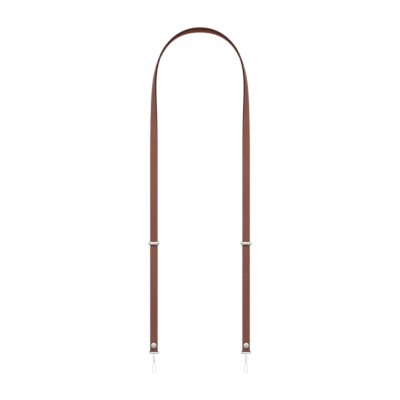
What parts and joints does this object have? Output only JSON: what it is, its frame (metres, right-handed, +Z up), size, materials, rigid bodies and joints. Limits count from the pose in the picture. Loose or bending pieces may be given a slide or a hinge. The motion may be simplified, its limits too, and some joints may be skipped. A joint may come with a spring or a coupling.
{
  "type": "phone neck strap",
  "caption": "Flat leather neck strap for a phone: an arched band with sliding metal keepers on its legs, riveted folds that hold wire rings, and thin cord loops that take the phone.",
  "frame": {"origin": "on the underside of the arch's crown, where the strap rests on the neck", "axes": "+Z up, with the legs hanging down -Z; -Y is the front, where the legs show their grain side; +X is the viewer's right"},
  "size_m": [0.1352, 0.01, 0.4535],
  "materials": {
    "brown_leather": "smooth grain, satin",
    "nickel": "polished nickel",
    "white_cord": "matte braided cord"
  },
  "bodies": {
    "strap": {"strap": "brown_leather", "rivet_left": "nickel", "rivet_right": "nickel"},
    "keeper_left": {"keeper_left": "nickel"},
    "keeper_right": {"keeper_right": "nickel"},
    "ring_left": {"ring_left": "nickel", "cord_neck_left": "white_cord", "cord_left": "white_cord"},
    "ring_right": {"ring_right": "nickel", "cord_neck_right": "white_cord", "cord_right": "white_cord"}
  },
  "joints": [
    {"name": "keeper_left_slide", "type": "slide", "parent": "strap", "child": "keeper_left", "axis": [0, 0, 1], "range_m": [-0.125, 0.004]},
    {"name": "keeper_right_slide", "type": "slide", "parent": "strap", "child": "keeper_right", "axis": [0, 0, 1], "range_m": [-0.125, 0.004]},
    {"name": "ring_left_swing", "type": "hinge", "parent": "strap", "child": "ring_left", "pos_m": [-0.0605, 0.00075, -0.41947], "axis": [1, 0, 0], "range_deg": [-90, 90]},
    {"name": "ring_right_swing", "type": "hinge", "parent": "strap", "child": "ring_right", "pos_m": [0.0605, 0.00075, -0.41947], "axis": [1, 0, 0], "range_deg": [-90, 90]}
  ]
}
